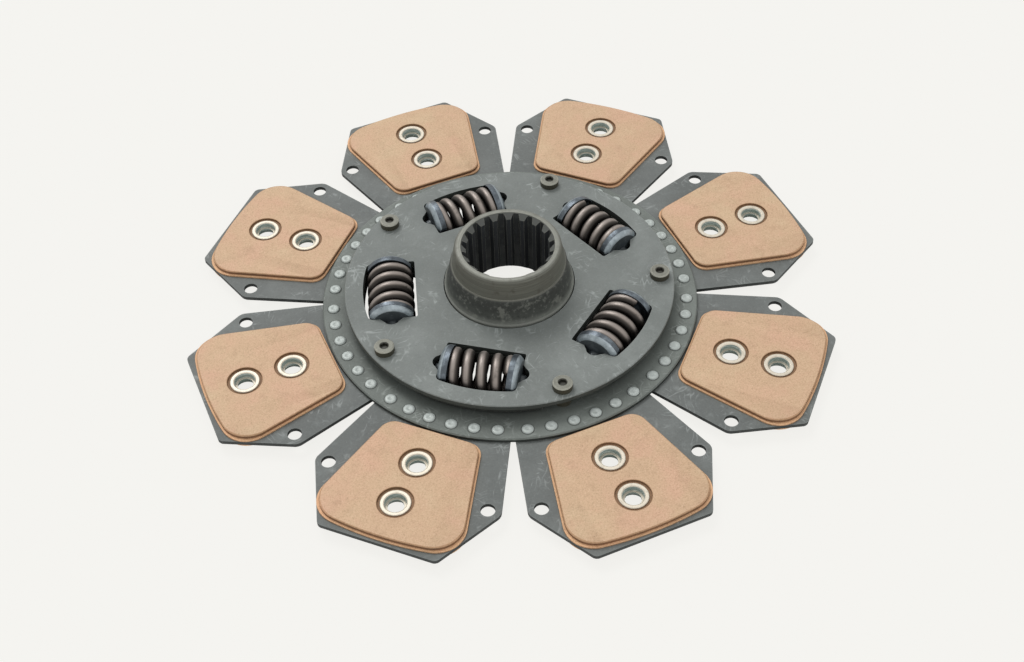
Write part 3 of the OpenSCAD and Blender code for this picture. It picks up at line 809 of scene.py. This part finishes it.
@dataclass
class Shell:
    """The points and faces of one mesh while it is made, in millimetres."""

    points: list[Vector] = field(default_factory=list)
    faces: list[tuple[int, ...]] = field(default_factory=list)
    zones: list[int] = field(default_factory=list)

    def ring(self, points: Iterable[Sequence[float]]) -> list[int]:
        """Adds points.

        Args:
            points: Their places.

        Returns:
            Their numbers.
        """
        start = len(self.points)
        self.points.extend(Vector(point) for point in points)
        return list(range(start, len(self.points)))

    def face(self, corners: Sequence[int], zone: int = 0) -> None:
        """Adds one face by the numbers of its points, in one of the piece's materials."""
        self.faces.append(tuple(corners))
        self.zones.append(zone)

    def bridge(self, low: Sequence[int], high: Sequence[int], zone: int = 0) -> None:
        """Joins two closed rings of as many points, or a ring and a single point.

        Args:
            low: The first ring.
            high: The second ring.
            zone: Which of the piece's materials the band takes.
        """
        count = max(len(low), len(high))
        for i in range(count):
            j = (i + 1) % count
            corners = (low[i % len(low)], low[j % len(low)], high[j % len(high)], high[i % len(high)])
            self.face(tuple(dict.fromkeys(corners)), zone)

    def stack(self, rings: Sequence[Sequence[int]], zones: Sequence[int] = ()) -> None:
        """Joins rings one after the other, each band in the material that zones gives, or in the first."""
        for number, (low, high) in enumerate(zip(rings, rings[1:])):
            self.bridge(low, high, zones[number] if zones else 0)

    def fill(self, outer: Sequence[int], holes: Sequence[Sequence[int]], up: bool, zone: int = 0) -> None:
        """Closes a flat outline with holes.

        Args:
            outer: The outer ring.
            holes: The rings of the holes.
            up: Whether the face looks along +Z.
            zone: Which of the piece's materials it takes.
        """
        loops = [list(outer), *[list(hole) for hole in holes]]
        numbers = [number for loop in loops for number in loop]
        for corners in tessellate_polygon([[self.points[number] for number in loop] for loop in loops]):
            a, b, c = (self.points[numbers[k]] for k in corners)
            looks_up = (b - a).cross(c - a).z > 0
            order = corners if looks_up == up else corners[::-1]
            self.face([numbers[k] for k in order], zone)

    def lathe(self, profile: Sequence[Flat], steps: int, place: Matrix, zones: Sequence[int] = ()) -> None:
        """Adds a turned body.

        Args:
            profile: Points of radius and height, from the axis back to the axis.
            steps: How many points a full turn has.
            place: Where the body goes.
            zones: The material of each band, or nothing for the first material.
        """
        angles = [math.tau * k / steps for k in range(steps)]
        rings: list[list[int]] = []
        for r, z in profile:
            turn = [(r * math.cos(a), r * math.sin(a), z) for a in angles] if r > 0 else [(0.0, 0.0, z)]
            rings.append(self.ring(place @ Vector(point) for point in turn))
        self.stack(rings, zones)

    def piece(self, name: str, materials: Sequence[Material], sharp: float = 35.0) -> bpy.types.Object:
        """Makes the object.

        Args:
            name: The piece's name.
            materials: Its materials, in the order of the zones.
            sharp: Angle in degrees above which an edge stays sharp.

        Returns:
            The new object.
        """
        mesh = bpy.data.meshes.new(name)
        mesh.from_pydata([point * MM for point in self.points], [], self.faces)
        for material in materials:
            mesh.materials.append(material)
        mesh.polygons.foreach_set("material_index", self.zones)
        mesh.polygons.foreach_set("use_smooth", [True] * len(mesh.polygons))
        shaper = bmesh.new()
        shaper.from_mesh(mesh)
        bmesh.ops.remove_doubles(shaper, verts=shaper.verts, dist=WELD * MM)
        bmesh.ops.recalc_face_normals(shaper, faces=shaper.faces)
        shaper.to_mesh(mesh)
        shaper.free()
        mesh.set_sharp_from_angle(angle=math.radians(sharp))
        made = bpy.data.objects.new(name, mesh)
        bpy.context.scene.collection.objects.link(made)
        LOG.info("%s: %d faces", name, len(mesh.polygons))
        return made


def dress(coat: Coat, *nodes: str) -> None:
    """Gives CAD nodes a finish.

    Args:
        coat: The finish.
        nodes: The nodes' names.
    """
    material = coat.material()
    for node in nodes:
        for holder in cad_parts[node].material_slots:
            holder.link = "OBJECT"
            holder.material = material
        LOG.info("%s: %s", node, material.name)


@dataclass
class Plates:
    """The front cover, the carrier plate and the eight paddles."""

    paddle_count: int = 8

    def build(self) -> None:
        """Dresses the plates."""
        cover = PhosphateCoat(
            "cover_phosphate_finish",
            ground=(118, 123, 119), pale=(142, 147, 143), dark=(96, 101, 97),
            rim=(158, 164, 160), side=(48, 53, 49), scuffs=0.4,
        )
        carrier = PhosphateCoat(
            "plate_phosphate_finish",
            ground=(110, 116, 110), pale=(132, 138, 132), dark=(80, 85, 80),
            rim=(148, 154, 148), side=(40, 44, 41), scuffs=0.4,
            # Painted shadow of the cover on the carrier, full inside radius 89 mm and gone by 93.5 mm, and
            # painted shadow round the ring-rivet heads
            painted_shadow_band=(89.0, 93.5), rivets=RingRivets.places, seed=101.0,
        )
        paddle = PhosphateCoat(
            "paddle_phosphate_finish",
            ground=(104, 108, 105), pale=(130, 135, 132), dark=(76, 80, 78),
            rim=(146, 151, 148), side=(40, 43, 41), scuffs=0.5, seed=201.0,
        )
        dress(cover, "front_cover")
        dress(carrier, "carrier_plate")
        dress(paddle, *[f"paddle_{number}" for number in range(1, self.paddle_count + 1)])


@dataclass
class HubParts:
    """The hub with its bush, its washer and the stop pins."""

    bush: Coat = LiningCoat("bush_polymer_finish", (84, 82, 74), (120, 116, 102), 71.0)
    washer: Coat = LiningCoat("washer_composite_finish", (88, 84, 76), (140, 128, 104), 81.0)

    def build(self) -> None:
        """Dresses the hub parts."""
        dress(HubCoat(), "hub")
        dress(PinCoat(), "stop_pins")
        dress(self.bush, "centre_bush")
        dress(self.washer, "friction_washer")


@dataclass
class PadRivets:
    """The sixteen tubular rivets through the pads."""

    bores: tuple[Places, Places] = (Places(8, 22.5, 126.0), Places(8, 22.5, 152.0))

    def build(self) -> None:
        """Dresses the rivets."""
        dress(ZincCoat("pad_rivet_zinc_finish", bores=self.bores, bore_r=5.4), "pad_rivets")


@dataclass
class RingRivets:
    """The rivets that hold the paddles to the carrier plate, each with a dimpled head on both sides."""

    places: Places = Places(8, 22.5, 97.0, each=6, step=7.2)
    steps: int = 28
    low: float = 3.5
    high: float = 10.0
    shank_r: float = 2.2
    head_r: float = 3.15
    seat_low: float = 4.4
    seat_high: float = 9.1
    dimple: tuple[Flat, ...] = ((0.0, 0.22), (0.55, 0.2), (0.95, 0.08), (1.3, 0.01), (1.7, 0.0))
    shoulder: tuple[Flat, ...] = ((0.75, 0.03), (0.35, 0.16), (0.08, 0.42), (0.0, 0.65))

    def head(self, face: float, seat: float) -> list[Flat]:
        """The profile of one head, from its middle to the shank.

        Args:
            face: Height of the head's flat.
            seat: Height of the plate under it.

        Returns:
            Points of radius and height.
        """
        side = 1 if face > seat else -1
        top = [*self.dimple, *[(self.head_r - inset, drop) for inset, drop in self.shoulder]]
        return [*[(r, face - side * drop) for r, drop in top], (self.head_r, seat), (self.shank_r, seat)]

    def build(self) -> None:
        """Makes all ring rivets as one piece."""
        shell = Shell()
        profile = self.head(self.low, self.seat_low) + self.head(self.high, self.seat_high)[::-1]
        for turn in self.places.turns():
            shell.lathe(profile, self.steps, turn @ Matrix.Translation((self.places.circle, 0, 0)))
        coat = ZincCoat(
            "ring_rivet_zinc_finish",
            ground=(176, 183, 178), bright=(200, 206, 201), dull=(146, 153, 148),
            metal=0.1, seed=35.0,
        )
        piece = shell.piece("ring_rivet_heads", [coat.material()])
        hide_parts("ring_rivets")
        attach(piece, "disc")


@dataclass
class FrictionPads:
    """The front and rear pads: a sintered block on a steel backing with two recessed rivet holes."""

    places: Places = Places(8, 22.5)
    inner: float = 103.6
    outer: float = 174.0
    half_turn: float = 14.15
    outer_corner: float = 15.0
    inner_corner: float = 8.0
    height: float = 3.0
    backing: float = 1.0
    backing_round: float = 0.15
    lip: float = 1.0
    bevel: float = 0.5
    hole_r: float = 6.3
    hole_steps: int = 48
    recess_r: float = 9.3
    recess_bevel: float = 0.25
    recess_depth: float = 1.2
    front_z: float = 6.6
    rear_z: float = 4.4

    def outline(self, margin: float) -> list[Flat]:
        """The rounded outline of the pad.

        Args:
            margin: How far it lies inside the backing's outline.

        Returns:
            Its points, counter-clockwise, the same number for any margin.
        """
        slope = math.radians(self.half_turn)
        along = Vector((math.cos(slope), math.sin(slope)))
        out = Vector((-along.y, along.x))
        inner = self.inner + margin
        outer = self.outer - margin
        outer_r = self.outer_corner
        inner_r = self.inner_corner
        reach = math.sqrt((outer - outer_r) ** 2 - (outer_r + margin) ** 2)
        far = reach * along - (outer_r + margin) * out
        near_x = inner + inner_r
        near = Vector((near_x, near_x * math.tan(slope) - (inner_r + margin) / math.cos(slope)))
        bend = math.pi / 2 + slope
        tip = math.atan2(far.y, far.x)

        def arc(middle: Vector, r: float, start: float, end: float, count: int) -> list[Vector]:
            """Even points on an arc."""
            return [middle + r * Vector((math.cos(a), math.sin(a))) for a in self.steps(start, end, count)]

        foot = Vector((inner, near.y))
        half = [Vector((inner, 0)).lerp(foot, share) for share in self.steps(0, 1, 12)]
        half += arc(near, inner_r, math.pi, bend, 10)
        far_side = far + outer_r * out
        half += [(near + inner_r * out).lerp(far_side, share) for share in self.steps(0, 1, 12)[1:-1]]
        half += arc(far, outer_r, bend, tip, 14)
        half += arc(Vector((0, 0)), outer, tip, 0.0, 18)[1:]
        upper = [(p.x, p.y) for p in half]
        lower = [(x, -y) for x, y in upper[1:-1]]
        return upper[::-1] + lower

    @staticmethod
    def steps(start: float, end: float, count: int) -> list[float]:
        """Even steps from start to end, both included."""
        return [start + (end - start) * k / count for k in range(count + 1)]

    def circle(self, shell: Shell, middle: float, r: float, z: float) -> list[int]:
        """Adds a ring of points at a height, round a rivet whose middle is so far from the hub axis."""
        angles = self.steps(0, math.tau, self.hole_steps)[:-1]
        return shell.ring((middle + r * math.cos(a), r * math.sin(a), z) for a in angles)

    def one(self) -> Shell:
        """Makes one pad, lying on its backing, along +X.

        Returns:
            Its mesh.
        """
        shell = Shell()
        top = self.height
        walls = [
            (0.0, 0.0, PadZone.BACKING),
            (0.0, self.backing - self.backing_round, PadZone.BACKING),
            (self.backing_round, self.backing, PadZone.BACKING),
            (self.lip, self.backing, PadZone.SIDE),
            (self.lip, top - self.bevel, PadZone.BEVEL),
            (self.lip + self.bevel * 0.4, top - self.bevel * 0.35, PadZone.BEVEL),
            (self.lip + self.bevel, top, PadZone.BEVEL),
        ]
        rings = [shell.ring((x, y, z) for x, y in self.outline(margin)) for margin, z, _ in walls]
        shell.stack(rings, [zone for *_, zone in walls])
        floor = top - self.recess_depth
        mouths: list[list[int]] = []
        feet: list[list[int]] = []
        for places in PadRivets.bores:
            bands = [
                (self.recess_r + self.recess_bevel, top, PadZone.BEVEL),
                (self.recess_r, top - self.recess_bevel, PadZone.RECESS),
                (self.recess_r, floor, PadZone.RECESS),
                (self.hole_r, floor, PadZone.RECESS),
                (self.hole_r, 0.0, PadZone.RECESS),
            ]
            holes = [self.circle(shell, places.circle, r, z) for r, z, _ in bands]
            shell.stack(holes, [zone for *_, zone in bands])
            mouths.append(holes[0])
            feet.append(holes[-1])
        shell.fill(rings[-1], mouths, True, PadZone.FACE)
        shell.fill(rings[0], feet, False, PadZone.BACKING)
        return shell

    def coats(self) -> list[Material]:
        """Makes the materials of a pad, in the order of PadZone; the bevel, side and recess ones carry
        painted shade, and the copper backing painted light.

        Returns:
            The materials.
        """
        face = SinterCoat(
            "sinter_face_finish",
            ground=(204, 171, 137), warm=(212, 168, 140), cool=(208, 182, 146),
            light=(226, 196, 164), dark=(164, 132, 102),
        )
        # Painted shade on the bevels
        bevel = SinterCoat(
            "sinter_bevel_painted_shade",
            ground=(186, 148, 112), warm=(196, 150, 116), cool=(180, 146, 110),
            light=(208, 172, 136), dark=(140, 104, 74), seed=42.0,
        )
        # Painted shade on the sides
        side = SinterCoat(
            "sinter_side_painted_shade",
            ground=(128, 94, 65), warm=(144, 101, 70), cool=(118, 91, 66),
            light=(158, 120, 87), dark=(86, 61, 42), grain_depth=0.1, seed=43.0,
        )
        # Copper backing, made lighter by painted light
        backing = SinterCoat(
            "backing_copper_painted_light",
            ground=(228, 182, 138), warm=(234, 182, 140), cool=(216, 174, 132),
            light=(242, 206, 166), dark=(176, 132, 96), grain_depth=0.03, seed=44.0,
        )
        # Painted shade in the recesses
        recess = SinterCoat(
            "sinter_recess_painted_shade",
            ground=(138, 106, 76), warm=(152, 112, 80), cool=(130, 104, 76),
            light=(176, 140, 106), dark=(88, 64, 44), grain_depth=0.08, seed=45.0,
        )
        return [coat.material() for coat in (face, bevel, side, backing, recess)]

    def build(self) -> None:
        """Makes the sixteen pads."""
        pad = self.one()
        coats = self.coats()
        for side, lift, flip in (("front", self.front_z, 0), ("rear", self.rear_z, 180)):
            for number, turn in enumerate(self.places.turns(), 1):
                place = turn @ Matrix.Translation((0, 0, lift)) @ rotation(flip, "X")
                copy = Shell([place @ point for point in pad.points], pad.faces, pad.zones)
                piece = copy.piece(f"{side}_lining_{number}", coats, 28)
                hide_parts(f"{side}_pad_{number}")
                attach(piece, "disc")


@dataclass
class Damper:
    """The five coil springs, each between two seats at the window ends."""

    places: Places = Places(5, 40.0, 65.0)
    height: float = 13.62
    window: float = 42.6
    wire_r: float = 3.1
    coil_r: float = 9.75
    turn_steps: int = 60
    wire_sides: int = 16
    tip_width: tuple[float, ...] = (1.0, 0.93, 0.72)
    tip_reach: tuple[float, ...] = (0.0, 0.35, 0.6)
    coil_turn: float = 150.0
    turns: float = 4.4
    closed: float = 0.8
    closed_pitch: float = 6.25
    half: float = 15.7
    seat_r: float = 13.6
    seat_steps: int = 72
    seat_plate: float = 2.5
    seat_len: float = 5.5
    seat_wall: float = 0.7
    seat_round: float = 3.0
    flat_w: float = 23.8
    nub_d: float = 7.5
    nub_len: float = 4.0
    pilot_r: float = 6.3
    spring_keep: float = 0.804
    seat_shift: float = 3.685

    def rise(self, turn: float) -> float:
        """Height of the wire along the spring.

        Args:
            turn: Turns from its first end.

        Returns:
            The height in millimetres from that end.
        """
        pitch = (2 * self.half - 2 * self.closed * self.closed_pitch) / (self.turns - 2 * self.closed)
        if turn < self.closed:
            return turn * self.closed_pitch
        if turn > self.turns - self.closed:
            return 2 * self.half - (self.turns - turn) * self.closed_pitch
        return self.closed * self.closed_pitch + (turn - self.closed) * pitch

    def coil(self, place: Matrix) -> Shell:
        """Sweeps the wire of one spring.

        Args:
            place: Where the spring goes; its own axis is Z.

        Returns:
            Its mesh.
        """
        shell = Shell()
        count = round(self.turns * self.turn_steps)
        rings: list[list[int]] = []
        for i in range(-2, count + 3):
            turn = self.turns * (min(max(i, 0), count) / count)
            end = max(-i, i - count, 0)
            r = self.wire_r * self.tip_width[end]
            a = math.tau * turn + self.tip_reach[end] * (1 if i > 0 else -1) / self.coil_r
            loop = []
            for k in range(self.wire_sides):
                b = math.tau * (k + 0.5) / self.wire_sides
                reach = self.coil_r + r * math.cos(b)
                z = self.rise(turn) - self.half + r * math.sin(b)
                loop.append(place @ Vector((reach * math.cos(a), reach * math.sin(a), z)))
            rings.append(shell.ring(loop))
        shell.stack(rings)
        shell.face(rings[0][::-1])
        shell.face(rings[-1])
        return shell

    def seat(self, place: Matrix) -> Shell:
        """Turns one seat and cuts its two flats.

        Args:
            place: Where the seat goes; its own axis is Z, with the nub on the low side.

        Returns:
            Its mesh.
        """
        soft = self.seat_round
        inner = self.seat_r - self.seat_wall
        nub = self.nub_d / 2
        tip = ((0.0, 1.0), (0.25, 0.985), (0.5, 0.93), (0.74, 0.78), (0.9, 0.52))
        end = ((1.25, 0.0), (0.86, 0.08), (0.5, 0.27), (0.2, 0.58), (0.05, 0.85), (0.0, 1.05))
        profile = [
            *[(nub * width, -self.nub_len * length) for width, length in tip],
            (nub, -0.2),
            (nub + 0.3, 0.0),
            *[(self.seat_r - soft * inset, soft * rise) for inset, rise in end],
            (self.seat_r, self.seat_len - 0.15),
            (self.seat_r - 0.15, self.seat_len),
            (inner + 0.1, self.seat_len),
            (inner, self.seat_len - 0.1),
            (inner, self.seat_plate),
            (self.pilot_r, self.seat_plate),
            (self.pilot_r - 0.4, self.seat_len),
            (0.0, self.seat_len),
        ]
        shell = Shell()
        # The end and nub take painted shade, the rounding a painted highlight
        zones = [SeatZone.END] * 8 + [SeatZone.RIM] * 3 + [SeatZone.SKIRT] * len(profile)
        shell.lathe(profile, self.seat_steps, Matrix.Identity(4), zones)
        shaper = bmesh.new()
        points = [shaper.verts.new(point) for point in shell.points]
        for corners, zone in zip(shell.faces, shell.zones):
            shaper.faces.new([points[k] for k in corners]).material_index = zone
        for side in (-1, 1):
            parts = shaper.verts[:] + shaper.edges[:] + shaper.faces[:]
            plane = {"plane_co": (side * self.flat_w / 2, 0, 0), "plane_no": (side, 0, 0)}
            cut = bmesh.ops.bisect_plane(shaper, geom=parts, dist=1e-4, clear_outer=True, **plane)["geom_cut"]
            rim = [item for item in cut if isinstance(item, bmesh.types.BMEdge)]
            bmesh.ops.triangle_fill(shaper, edges=rim, use_beauty=True)
        shaper.verts.ensure_lookup_table()
        shaper.verts.index_update()
        made = Shell()
        made.ring(place @ vert.co for vert in shaper.verts)
        for face in shaper.faces:
            made.face([vert.index for vert in face.verts], face.material_index)
        shaper.free()
        return made

    def build(self) -> None:
        """Makes the springs and the seats, and hangs them on the springs body."""
        wire = WireCoat().material()
        coats = [
            SeatCoat("seat_skirt_finish", (88, 95, 102), (140, 151, 160), (50, 55, 60)),
            # Painted shade on the ends, and a painted highlight on the rounded rims
            SeatCoat("seat_end_painted_shade", (58, 64, 67), (96, 103, 106), (34, 38, 40), 65.0, 0.2),
            SeatCoat("seat_rim_painted_highlight", (146, 156, 162), (188, 198, 204), (84, 92, 97), 63.0),
        ]
        steel = [coat.material() for coat in coats]
        for number, turn in enumerate(self.places.turns(), 1):
            home = turn @ Matrix.Translation((self.places.circle, 0, self.height))
            middle = home.translation * MM
            tangent = (turn @ Vector((0, 1, 0))).normalized()
            lay = rotation(-90, "X") @ rotation(self.coil_turn, "Z")
            coil = self.coil(home @ lay).piece(f"damper_spring_{number}", [wire], 60)
            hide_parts(f"spring_{number}")
            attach(coil, "springs")
            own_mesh(coil)
            for letter, side in (("a", 1), ("b", -1)):
                shift = Matrix.Translation((0, side * self.window / 2, 0))
                place = home @ shift @ rotation(side * 90, "X")
                cup = self.seat(place).piece(f"spring_cup_{letter}_{number}", steel, 40)
                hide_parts(f"seat_{letter}_{number}")
                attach(cup, "springs")
                # A point one metre away along the tangent; nothing uses it
                far = middle + tangent * side * self.window / 2 * MM - tangent * side
                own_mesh(cup)


@dataclass
class Studio:
    """The pale floor, the soft light and the camera of the photograph."""

    paper: Colour = (245, 244, 240)
    sky: Colour = (250, 251, 255)
    sky_level: float = 0.62
    floor_glow: float = 0.92
    camera_at: Triple = (6.64, -585.36, 604.96)
    lens: float = 53.199
    camera_turn: float = 0.6
    camera_tilt: float = 43.0885
    camera_roll: float = -2.2024
    floor_half: float = 4000.0
    floor_z: float = -0.4

    def world(self) -> None:
        """Sets the even light of the room, and the paper colour where it is seen or mirrored."""
        world = bpy.data.worlds.new("studio_world")
        bpy.context.scene.world = world
        world.use_nodes = True
        s = Shader(world.node_tree)
        path = s.node("ShaderNodeLightPath").node
        seen = Signal(s, path.outputs["Is Camera Ray"]) + Signal(s, path.outputs["Is Glossy Ray"])
        seen = (seen + Signal(s, path.outputs["Is Transmission Ray"])).least(1.0)
        light = s.node("ShaderNodeBackground", values={"Color": self.sky, "Strength": self.sky_level})
        paper = s.node("ShaderNodeBackground", values={"Color": self.paper})
        both = s.node("ShaderNodeMixShader", values=(seen, light, paper))
        s.node("ShaderNodeOutputWorld", values={"Surface": both})

    def floor(self) -> None:
        """Lays the floor just under the disc."""
        shell = Shell()
        far, z = self.floor_half, self.floor_z
        shell.face(shell.ring([(-far, -far, z), (far, -far, z), (far, far, z), (-far, far, z)]))
        material, s = Shader.of_material("paper_floor")
        seen = s.number("ShaderNodeLightPath", output="Is Camera Ray")
        plain = s.node("ShaderNodeBsdfDiffuse", values={"Color": self.paper})
        glow = s.node("ShaderNodeEmission", values={"Color": self.paper})
        both = s.node("ShaderNodeMixShader", values=(seen * self.floor_glow, plain, glow))
        s.node("ShaderNodeOutputMaterial", values={"Surface": both})
        shell.piece("floor", [material])

    def sun(self, name: str, turn: float, height: float, strength: float, spread: float) -> None:
        """Adds one far lamp.

        Args:
            name: The lamp's name.
            turn: Direction that it comes from, in degrees from +X.
            height: Its height over the horizon in degrees.
            strength: Its strength.
            spread: Its apparent size in degrees.
        """
        lamp = bpy.data.lights.new(name, "SUN")
        lamp.energy = strength
        lamp.angle = math.radians(spread)
        holder = bpy.data.objects.new(name, lamp)
        side, rise = math.radians(turn), math.radians(height)
        flat = math.cos(rise)
        source = Vector((flat * math.cos(side), flat * math.sin(side), math.sin(rise)))
        holder.rotation_euler = source.to_track_quat("Z", "Y").to_euler()
        bpy.context.scene.collection.objects.link(holder)
        LOG.info("%s: strength %.2f", name, strength)

    def camera(self) -> None:
        """Puts the camera where the photograph was taken."""
        lens = bpy.data.cameras.new("photo_camera")
        lens.lens = self.lens
        lens.sensor_width = 36.0
        lens.sensor_fit = "HORIZONTAL"
        lens.clip_start = 0.01
        lens.clip_end = 20.0
        holder = bpy.data.objects.new("photo_camera", lens)
        turn, tilt = rotation(self.camera_turn, "Z"), rotation(self.camera_tilt, "X")
        spot = Matrix.Translation(Vector(self.camera_at) * MM)
        holder.matrix_world = spot @ turn @ tilt @ rotation(self.camera_roll, "Z")
        bpy.context.scene.collection.objects.link(holder)
        bpy.context.scene.camera = holder

    def build(self) -> None:
        """Sets up the whole studio."""
        bpy.context.scene.view_settings.view_transform = "Standard"
        self.world()
        self.floor()
        self.sun("key_light", turn=118, height=50, strength=1.25, spread=28)
        self.sun("fill_light", turn=-60, height=55, strength=0.35, spread=60)
        self.camera()


def main() -> None:
    """Builds the disc's sub-assemblies and the studio in order."""
    logging.basicConfig(level=logging.INFO, format="%(name)s %(message)s")
    for part in (Plates(), HubParts(), PadRivets(), RingRivets(), FrictionPads(), Damper(), Studio()):
        part.build()
        LOG.info("%s done", type(part).__name__)


if __name__ == "__main__":
    main()
